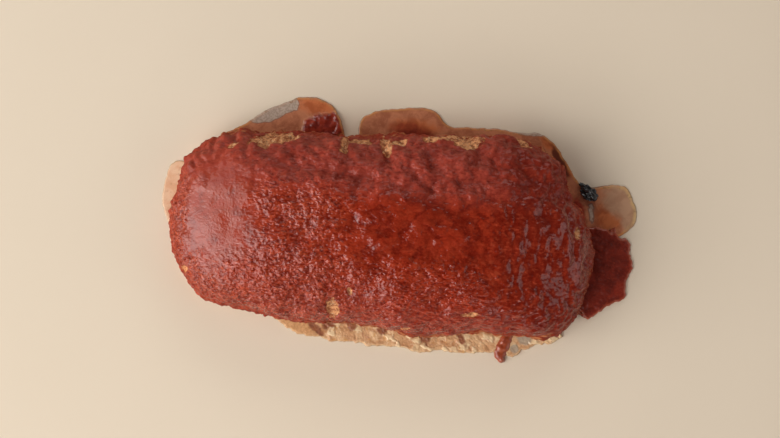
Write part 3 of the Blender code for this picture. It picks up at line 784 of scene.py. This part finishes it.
def curds():
    """Fat and meat juice cooked to a cream and tan crust."""
    m = Nodes("curds")
    rim, brown, grey, clot, gold, tint = (m.fact(k) for k in ("rim", "brown", "grey", "clot", "gold", "tint"))
    cloud = m.noise(7.5, 3, 0.6, 0.7)
    fine = m.noise(1.8, 3, 0.62, 0.4)
    tone = m.mix(m.step(cloud, 0.36, 0.62), (0.650, 0.335, 0.150), (0.810, 0.500, 0.250))
    tone = m.mix(m.math("MULTIPLY", m.step(tint, 0.35, 0.85), m.math("MULTIPLY", clot, 0.9)), tone, (0.930, 0.700, 0.400))
    tone = m.mix(m.math("MULTIPLY", m.step(fine, 0.50, 0.72), 0.45), tone, (0.930, 0.732, 0.472))
    tone = m.mix(m.math("MULTIPLY", m.step(clot, 0.45, 0.0), 0.45), tone, (0.496, 0.218, 0.088))
    tone = m.mix(m.step(m.noise(4.6, 3, 0.6, 0.5), 0.60, 0.70, 0, 0.75), tone, (0.708, 0.330, 0.077))
    tone = m.mix(m.step(m.noise(5.4, 3, 0.6, 0.9), 0.40, 0.33, 0, 0.55), tone, (0.560, 0.255, 0.150))
    tone = m.mix(gold, tone, m.mix(m.step(fine, 0.35, 0.65), (0.610, 0.300, 0.110), (0.770, 0.430, 0.190)))
    tone = m.mix(brown, tone, m.mix(m.step(fine, 0.35, 0.65), (0.236, 0.073, 0.028), (0.413, 0.147, 0.059)))
    tone = m.mix(m.math("MULTIPLY", grey, 0.8), tone, (0.425, 0.354, 0.260))
    tone = m.mix(m.step(rim, 1.1, 0.1, 0, 0.6), tone, (0.543, 0.330, 0.153))
    m.set(Base_Color=tone, Roughness=m.step(m.noise(5, 2, 0.5), 0.35, 0.65, 0.36, 0.60),
          Coat_Weight=m.step(m.noise(7, 2), 0.45, 0.6, 0.05, 0.5), Coat_Roughness=0.14,
          Normal=m.bump(m.math("ADD", m.math("MULTIPLY", fine, 0.24), m.math("MULTIPLY", m.noise(0.8, 2), 0.10))))
    return m.mat


def char_skin():
    m = Nodes("char_skin")
    fine = m.noise(1.1, 3, 0.6)
    tone = m.mix(m.step(fine, 0.4, 0.7), (0.0040, 0.0038, 0.0042), (0.014, 0.012, 0.012))
    m.set(Base_Color=tone, Roughness=m.step(m.noise(2.5, 2), 0.35, 0.65, 0.28, 0.5), Coat_Weight=0.9, Coat_Roughness=0.10,
          Normal=m.bump(m.math("MULTIPLY", fine, 0.35)))
    return m.mat


JUICE, DARK, CURD = juice("set_juice"), dark_glaze(), curds()


def zones(**masks):
    """Facts for the juice: any of red, pale, warm, dark and grey; the rest are 0."""
    def of(xy, gap):
        blank = np.zeros(len(xy))
        return {k: masks[k](xy) if k in masks else blank for k in ("red", "pale", "warm", "dark", "grey")}
    return of


def together(*parts):
    def of(xy):
        out = np.zeros(len(xy))
        for part in parts:
            out = np.maximum(out, spot(xy, *part[:5], **(part[5] if len(part) > 5 else {})))
        return out
    return of


# the lobe behind the left half: clear brown juice with a clot of glaze on it
clot = together((-43.5, 64.5, 13.5, 8.2, 4, dict(soft=0.25, rag=0.22, wave=6.0, seed=511)),
                (-34.5, 68.0, 6.5, 7.5, 0, dict(soft=0.25, rag=0.2, wave=5.0, seed=513)))


def left_lobe_relief(xy, gap):
    p = flat3(xy)
    red = clot(xy)
    return (0.15 * swell(p, 9.0, 521) + red * (1.9 + 0.9 * swell(p, 4.2, 522) + 0.35 * swell(p, 2.0, 523))
            + 0.5 * np.exp(-((xy[:, 1] - 56) / 4) ** 2))


back_left = film(
    "juice_lobe_left", 102.6, 147.0,
    ((-28.0, 54.5), (-28.2, 60.0), (-31.0, 69.2), (-35.4, 76.6), (-42.3, 81.6), (-50.2, 83.6), (-59.5, 82.8), (-64.9, 80.4),
     (-73.6, 76.4), (-82.3, 71.8), (-90.5, 65.4), (-97.7, 60.6), (-107.1, 55.3), (-114.5, 46.8), (-117.5, 41.5)),
    1.1, 46, 210, rag=0.45, seed=601, relief_of=left_lobe_relief,
    facts_of=zones(red=clot,
                   pale=together((-76.0, 71.5, 15.5, 4.6, 27, dict(soft=0.16, rag=0.16, wave=5.0, seed=531)),
                                 (-64.0, 78.0, 4.2, 5.0, 0, dict(soft=0.16, rag=0.2, seed=532))),
                   warm=together((-47.0, 77.5, 13.0, 5.5, -10, dict(soft=0.9, seed=533)), (-104.0, 54.0, 8.0, 6.0, 0, dict(soft=0.9, seed=534)))))

# the lobe behind the middle, the strip round the back corner, the thin film at the right
back = film(
    "juice_strip_back", 99.5, 6.0,
    ((-19.0, 54.0), (-19.8, 60.0), (-18.4, 70.5), (-13.9, 75.4), (-5.2, 78.8), (6.4, 80.6), (19.1, 82.4), (27.2, 81.6), (32.6, 78.4),
     (36.7, 73.4), (41.5, 71.4), (52.4, 71.8), (63.3, 72.2), (72.5, 72.4), (84.8, 71.0), (97.6, 71.6), (103.9, 69.2),
     (111.0, 63.6), (115.8, 57.2), (120.8, 50.0), (125.1, 43.6), (129.5, 39.6), (139.1, 39.4), (149.9, 42.0), (158.0, 40.8),
     (162.6, 34.8), (166.2, 25.6), (166.4, 18.5), (161.4, 12.0), (154.0, 7.0), (145.0, 4.0), (138.0, 2.0)),
    1.0, 40, 470, rag=0.45, seed=611,
    relief_of=lambda xy, gap: 0.16 * swell(flat3(xy), 8.0, 541) + 0.06 * swell(flat3(xy), 3.0, 542),
    facts_of=zones(red=lambda xy: np.maximum(spot(xy, 128.5, 23.0, 4.0, 8.0, 20, soft=0.7, rag=0.35, seed=551),
                                            0.6 * spot(xy, 14.0, 67.0, 14.0, 5.0, -4, soft=0.9, rag=0.3, seed=562)),
                   pale=together((136.5, 23.0, 1.6, 6.0, 8, dict(soft=0.5, seed=555)), (136.0, 11.0, 1.6, 1.8, 0, dict(soft=0.5, seed=556)),
                                 (92.0, 70.8, 8.5, 1.4, -2, dict(soft=0.4, seed=556))),
                   grey=together((156.0, 31.0, 13.0, 10.0, -35, dict(soft=0.7, rag=0.2, seed=553)), (163.0, 21.0, 6.0, 10.0, -10, dict(soft=0.6, rag=0.2, seed=554))),
                   warm=together((106.5, 65.5, 9.0, 4.0, -40, dict(soft=0.7, seed=557)), (17.0, 68.0, 15.0, 6.0, 0, dict(soft=0.9, seed=558)),
                                 (148.5, 20.0, 9.0, 8.0, 0, dict(soft=0.7, rag=0.25, seed=559)), (117.0, 53.0, 3.4, 9.5, 32, dict(soft=0.8, seed=560))),
                   # dark juice, and painted shade along the loaf's foot
                   dark=together((113.5, 54.0, 3.0, 11.5, 30, dict(soft=0.5, seed=561)), (17.0, 64.0, 13.0, 3.6, 0, dict(soft=0.9, seed=562)))))

pool = film(
    "glaze_pool_right", 9.0, -36.5,
    ((133.0, 12.0), (137.5, 12.4), (141.8, 13.6), (147.1, 12.0), (150.6, 10.6), (153.6, 14.6), (154.6, 9.4), (157.4, 7.2), (161.0, 7.6),
     (163.2, 3.8), (164.4, -2.9), (167.2, -11.0), (164.2, -16.9), (162.9, -24.3), (163.2, -31.4), (157.8, -34.6), (152.9, -37.4),
     (148.0, -41.1), (143.2, -45.6), (139.2, -47.2), (134.6, -43.6), (129.1, -40.2)),
    2.0, 46, 260, rag=1.25, seed=621, rim=1.5,
    relief_of=lambda xy, gap: 0.42 * swell(flat3(xy), 7.0, 571) + 0.30 * (ridges(flat3(xy), 3.4, 572) - 0.4))

corner = film(
    "glaze_drip_corner", -33.0, -50.5,
    ((132.5, -38.0), (131.8, -44.0), (128.8, -51.5), (125.0, -56.0), (121.0, -61.0), (117.6, -60.6), (112.8, -58.2), (106.5, -57.2), (101.5, -57.6)),
    1.9, 22, 110, rag=0.6, seed=631, rim=1.5,
    relief_of=lambda xy, gap: 0.35 * swell(flat3(xy), 5.0, 581) + 0.22 * (ridges(flat3(xy), 3.0, 582) - 0.4))


def clots(xy, size, seed):
    """Irregular cells: distance in from the cell's edge, and a number for each cell."""
    at = xy / size
    home = np.floor(at).astype(np.int64)
    first, second = np.full(len(xy), 9.0), np.full(len(xy), 9.0)
    own = np.zeros(len(xy))
    for i in range(-2, 3):
        for j in range(-2, 3):
            cell = home + (i, j)
            h = lattice_value(cell[:, 0], cell[:, 1], 0 * cell[:, 0], seed)
            spot_at = cell + 0.5 + (np.stack([h & 0xFFFF, (h >> 16) & 0xFFFF], -1) / 65536.0 - 0.5) * 0.95
            d = np.hypot(*(at - spot_at).T)
            closer = d < first
            second = np.where(closer, first, np.minimum(second, d))
            own = np.where(closer, ((h >> 7) & 0x3FF) / 1023.0, own)
            first = np.where(closer, d, first)
    return second - first, own


def curd_cells(xy):
    p = flat3(xy)
    bent = xy + np.stack([swell(p, 4.5, 594), swell(p, 4.5, 595)], -1) * 2.4 + np.stack([swell(p, 1.9, 596), swell(p, 1.9, 597)], -1) * 0.7
    return clots(bent * (1.0, 1.25), 6.4, 598)


def curd_film_share(xy):
    """The smooth golden film at the left end of the fringe."""
    return ease(-30, -44, xy[:, 0] + 3.0 * swell(flat3(xy), 6.0, 599))


DRIP_PATH = ((89.5, -54.0), (88.6, -61.0), (86.4, -68.0), (84.6, -75.0), (86.6, -80.0))


def curd_relief(xy, gap):
    p = flat3(xy)
    inside, own = curd_cells(xy)
    rough = 1 - 0.75 * curd_film_share(xy)
    under_drip = 1 - 0.9 * ease(9.0, 5.0, nearest(xy, smooth_path(DRIP_PATH, 40)))
    return under_drip * rough * (0.95 * (own - 0.35) * ease(0.0, 0.40, inside) + 0.20 * swell(p, 2.2, 592)
                    + 0.16 * swell(p, 1.1, 590)) + 0.40 * swell(p, 12.0, 593)


def curd_facts(xy, gap):
    brown = together((-38.0, -66.5, 7.5, 2.4, -38, dict(soft=0.5, rag=0.4)), (-14.0, -63.5, 3.4, 3.6, 0, dict(soft=0.5, rag=0.4, seed=504)),
                     (6.0, -64.5, 3.2, 3.6, 0, dict(soft=0.5, rag=0.4, seed=506)), (-46.0, -58.0, 5.0, 2.0, 0, dict(soft=0.5, rag=0.4, seed=507)),
                     (34.0, -67.0, 4.0, 6.0, 20, dict(soft=0.6, rag=0.5, seed=508)), (58.0, -66.0, 2.2, 5.0, 30, dict(soft=0.6, rag=0.5, seed=509)),
                     (-28.0, -62.0, 6.0, 4.0, 60, dict(soft=0.6, rag=0.5, seed=510)), (103.0, -60.0, 9.0, 2.6, 0, dict(soft=0.6, rag=0.5, seed=518)),
                     (-52.0, -61.0, 3.0, 1.6, 20, dict(soft=0.5, rag=0.4, seed=519)))(xy)
    grey = together((99.5, -63.5, 4.6, 3.8, 0, dict(soft=0.4, seed=515)), (-66.0, -59.0, 4.0, 3.0, -30, dict(soft=0.4, seed=516)),
                    (93.5, -70.5, 2.6, 3.0, 0, dict(soft=0.4, seed=517)))(xy)
    inside, own = curd_cells(xy)
    return dict(brown=brown, grey=grey, clot=ease(0.0, 0.30, inside), tint=own, gold=curd_film_share(xy))


fringe = film(
    "curd_fringe_front", -122.0, -41.0,
    ((-71.5, -52.0), (-69.5, -57.5), (-63.5, -64.0), (-56.0, -68.0), (-45.9, -72.6), (-34.0, -73.0), (-26.4, -75.0), (-12.0, -74.0), (-0.5, -75.6),
     (18.8, -75.4), (32.0, -77.2), (44.5, -75.2), (60.0, -76.6), (76.6, -73.8), (92.0, -75.6), (100.0, -70.4), (107.5, -66.6), (116.0, -65.4), (124.5, -60.0)),
    1.5, 40, 460, rag=1.3, seed=641, rim=1.2, relief_of=curd_relief, facts_of=curd_facts)

left_film = film(
    "fat_film_left", 148.0, 190.0,
    ((-122.0, 36.5), (-128.0, 33.8), (-133.5, 35.4), (-138.6, 34.2), (-141.8, 29.0), (-143.6, 18.2), (-144.2, 8.4), (-142.5, 2.1), (-139.0, -5.4), (-135.0, -11.2)),
    0.8, 26, 130, rag=0.5, seed=651, rim=0.9,
    relief_of=lambda xy, gap: 0.10 * swell(flat3(xy), 6.0, 595))


def fat_skin():
    m = Nodes("fat_skin")
    rim = m.fact("rim")
    tone = m.mix(m.step(m.noise(7, 3, 0.6, 0.4), 0.38, 0.64), (0.82, 0.470, 0.270), (0.90, 0.610, 0.390))
    tone = m.mix(m.step(m.noise(3.2, 2), 0.58, 0.7, 0, 0.45), tone, (0.60, 0.290, 0.150))
    tone = m.mix(m.step(rim, 1.0, 0.15, 0, 0.7), tone, (0.46, 0.26, 0.11))
    m.set(Base_Color=tone, Roughness=0.35, Coat_Weight=0.6, Coat_Roughness=0.1,
          Normal=m.bump(m.math("MULTIPLY", m.noise(3, 2), 0.12)))
    return m.mat


def drip(name, path, widths, thick, seed):
    """A run of glaze with a rounded section, along path (mm)."""
    line = smooth_path(path, 60)
    s = np.linspace(0, 1, 60)
    width = np.interp(s, np.linspace(0, 1, len(widths)), widths)
    run = np.gradient(line, axis=0)
    run /= np.linalg.norm(run, axis=1, keepdims=True)
    side = np.stack([-run[:, 1], run[:, 0]], -1)
    k = 15
    t = np.linspace(-1, 1, k)
    wob = 1 + 0.16 * swell(np.stack([s * 14, s * 0, s * 0 + seed], -1), 1.0, seed)
    xy = line[:, None, :] + side[:, None, :] * (t[None, :, None] * (width * wob)[:, None, None])
    z = thick * np.sqrt(np.clip(1 - t ** 2, 0, 1))[None, :] * np.clip(np.minimum(s * 60, (1 - s) * 14) + 0.02, 0, 1)[:, None] ** 0.5
    z = z * (1 + 0.25 * swell(flat3(xy.reshape(-1, 2)), 3.0, seed + 1).reshape(z.shape))
    top = np.concatenate([xy, z[..., None]], -1).reshape(-1, 3)
    flat = np.concatenate([xy, 0 * z[..., None]], -1).reshape(-1, 3)
    n = len(top)
    i, j = (g.ravel() for g in np.meshgrid(np.arange(59), np.arange(k - 1), indexing="ij"))
    a = i * k + j
    up = np.stack([a, a + 1, a + k + 1, a + k], -1)
    bm = bmesh.new()
    va = [bm.verts.new(q * MM) for q in top]
    vb = [bm.verts.new(q * MM) for q in flat]
    for f in up:
        bm.faces.new([va[c] for c in f])
        bm.faces.new([vb[c] for c in f[::-1]])
    ring = [c for c in range(k)] + [r * k + k - 1 for r in range(1, 60)] + [59 * k + c for c in range(k - 2, -1, -1)] + [r * k for r in range(58, 0, -1)]
    for c, d in zip(ring, ring[1:] + ring[:1]):
        bm.faces.new((va[c], vb[c], vb[d], va[d]))
    bmesh.ops.remove_doubles(bm, verts=bm.verts, dist=2e-6)
    bmesh.ops.recalc_face_normals(bm, faces=bm.faces)
    mesh = bpy.data.meshes.new(name)
    bm.to_mesh(mesh)
    bm.free()
    made = bpy.data.objects.new(name, mesh)
    bpy.context.scene.collection.objects.link(made)
    made.location = CENTRE
    mesh.shade_smooth()
    mesh.set_sharp_from_angle(angle=math.radians(60))
    return made


def run_skin():
    m = Nodes("run_skin")
    tone = m.mix(m.step(m.noise(5, 3, 0.6), 0.36, 0.64), (0.300, 0.048, 0.015), (0.430, 0.090, 0.030))
    m.set(Base_Color=tone, Roughness=0.40, Coat_Weight=0.5, Coat_Roughness=0.12,
          Normal=m.bump(m.math("MULTIPLY", m.noise(2.4, 3), 0.25)))
    return m.mat


run_front = drip("glaze_drip_front", DRIP_PATH, (4.4, 4.2, 3.8, 4.6, 5.0, 3.8, 1.4), 3.0, 71)
run_front.data.materials.append(run_skin())


def char_piece():
    """The burnt bit: a shrivelled, folded crumb."""
    low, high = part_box("charred_bit")
    bm = bmesh.new()
    bmesh.ops.create_icosphere(bm, subdivisions=6, radius=1.0)
    p = np.array([v.co for v in bm.verts])
    size = 1 + 0.20 * swell(p, 1.1, 77) + 0.20 * swell(p, 0.55, 78)
    folds = ridges(stretched(p + 0.15 * swell(p, 0.5, 76)[:, None], 20, 1.6), 0.50, 79)
    size = size + 0.34 * (folds - 0.5) + 0.09 * swell(p, 0.22, 80)
    p = p * size[:, None] * (np.array((0.0150, 0.0080, 0.0052)) / 2)
    p[:, 0] *= 1 - 0.25 * ease(0, 0.007, p[:, 0])
    p[:, 2] = np.maximum(p[:, 2], -0.0017)
    turn = math.radians(-38.0)
    x = p[:, 0] * math.cos(turn) - p[:, 1] * math.sin(turn)
    y = p[:, 0] * math.sin(turn) + p[:, 1] * math.cos(turn)
    z = p[:, 2] - p[:, 2].min() + 0.0006
    for vert, a, b, c in zip(bm.verts, x, y, z):
        vert.co = (a, b, c)
    bmesh.ops.recalc_face_normals(bm, faces=bm.faces)
    mesh = bpy.data.meshes.new("burnt_crumb")
    bm.to_mesh(mesh)
    bm.free()
    made = bpy.data.objects.new("burnt_crumb", mesh)
    bpy.context.scene.collection.objects.link(made)
    made.location = ((low[0] + high[0]) / 2, (low[1] + high[1]) / 2, 0.0)
    mesh.shade_smooth()
    mesh.materials.append(char_skin())
    return made


burnt = char_piece()

for piece, stuff, slot, nodes in (
        (back_left, JUICE, "juice", ("juice_back_left",)),
        (back, JUICE, "juice", ("juice_back",)),
        (pool, DARK, "glaze_run", ("glaze_pool",)),
        (corner, DARK, "glaze_run", ()),
        (fringe, CURD, "curd", ("curds_front",)),
        (left_film, fat_skin(), "curd", ("juice_left",)),
        (run_front, None, "glaze_run", ()),
        (burnt, None, "char", ("charred_bit",))):
    if stuff:
        piece.data.materials.append(stuff)
    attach(piece, "root")
    if nodes:
        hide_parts(*nodes)

# ---------------------------------------------------------------- floor, light
def studio_floor():
    bm = bmesh.new()
    bmesh.ops.create_grid(bm, x_segments=2, y_segments=2, size=6.0)
    mesh = bpy.data.meshes.new("floor")
    bm.to_mesh(mesh)
    bm.free()
    made = bpy.data.objects.new("floor", mesh)
    bpy.context.scene.collection.objects.link(made)
    made.location = (0, 0, -0.0002)
    m = Nodes("floor")
    tone = m.mix(m.noise(180, 2, 0.5), (0.82, 0.695, 0.530), (0.86, 0.735, 0.570))
    m.set(Base_Color=tone, Roughness=0.85)
    mesh.materials.append(m.mat)


def area(name, at, towards, size, radiance, colour):
    light = bpy.data.lights.new(name, "AREA")
    light.shape = "RECTANGLE"
    light.size, light.size_y = size
    light.color = colour
    light.energy = radiance * size[0] * size[1] * math.pi
    made = bpy.data.objects.new(name, light)
    bpy.context.scene.collection.objects.link(made)
    made.location = at
    made.rotation_euler = (Vector(towards) - Vector(at)).to_track_quat("-Z", "Y").to_euler()


studio_floor()
area("window_left", (-2.02, -0.34, 1.16), (-0.05, 0.0, 0.03), (2.9, 1.9), 2.0, (0.99, 0.965, 0.95))
area("window_left_bright", (-1.80, -0.70, 0.98), (-0.05, 0.0, 0.03), (1.5, 1.6), 2.25, (0.99, 0.970, 0.965))
area("window_left_high", (-0.86, -0.58, 1.74), (-0.05, 0.0, 0.03), (1.0, 0.5), 3.0, (0.99, 0.970, 0.965))
area("window_right", (1.62, -0.05, 0.82), (0.1, 0.0, 0.03), (1.25, 1.1), 1.12, (1.0, 0.88, 0.86))
area("window_front", (-1.05, -1.62, 1.05), (0.0, 0.0, 0.03), (0.9, 0.6), 4.9, (1.0, 0.97, 0.95))
area("window_corner", (-1.02, -0.98, 1.52), (-0.05, 0.0, 0.03), (0.55, 0.45), 4.3, (1.0, 0.975, 0.965))
area("fill_front", (0.75, -1.80, 0.85), (0.0, 0.0, 0.03), (0.8, 0.5), 2.5, (1.0, 0.93, 0.91))
area("fill_back", (0.10, 1.75, 1.15), (0.0, 0.0, 0.03), (2.0, 0.7), 2.1, (1.0, 0.98, 0.96))

world = bpy.data.worlds.new("studio")
bpy.context.scene.world = world
world.use_nodes = True
tree = world.node_tree
ground = tree.nodes["Background"]
coord = tree.nodes.new("ShaderNodeTexCoord")
split = tree.nodes.new("ShaderNodeSeparateXYZ")
ramp = tree.nodes.new("ShaderNodeValToRGB")
tree.links.new(coord.outputs["Generated"], split.inputs[0])
tree.links.new(split.outputs["Z"], ramp.inputs[0])
ramp.color_ramp.elements[0].position = 0.0
ramp.color_ramp.elements[0].color = (0.13, 0.13, 0.13, 1)
ramp.color_ramp.elements[1].position = 0.88
ramp.color_ramp.elements[1].color = (0.028, 0.028, 0.028, 1)
tree.links.new(ramp.outputs[0], ground.inputs["Color"])
ground.inputs["Strength"].default_value = 1.0

scene = bpy.context.scene
scene.view_settings.view_transform = "Standard"
scene.view_settings.look = "None"

camera = bpy.data.objects.new("camera", bpy.data.cameras.new("camera"))
scene.collection.objects.link(camera)
scene.camera = camera
CAMERA_RISE = 1.10
camera.data.sensor_width = 36.0
camera.data.lens = 36.0 * CAMERA_RISE / 0.5034
camera.location = (CENTRE.x + 0.0056, CENTRE.y + 0.0080, BELLY_HEIGHT + CAMERA_RISE)
camera.rotation_euler = (0.0, 0.0, math.radians(4.5))
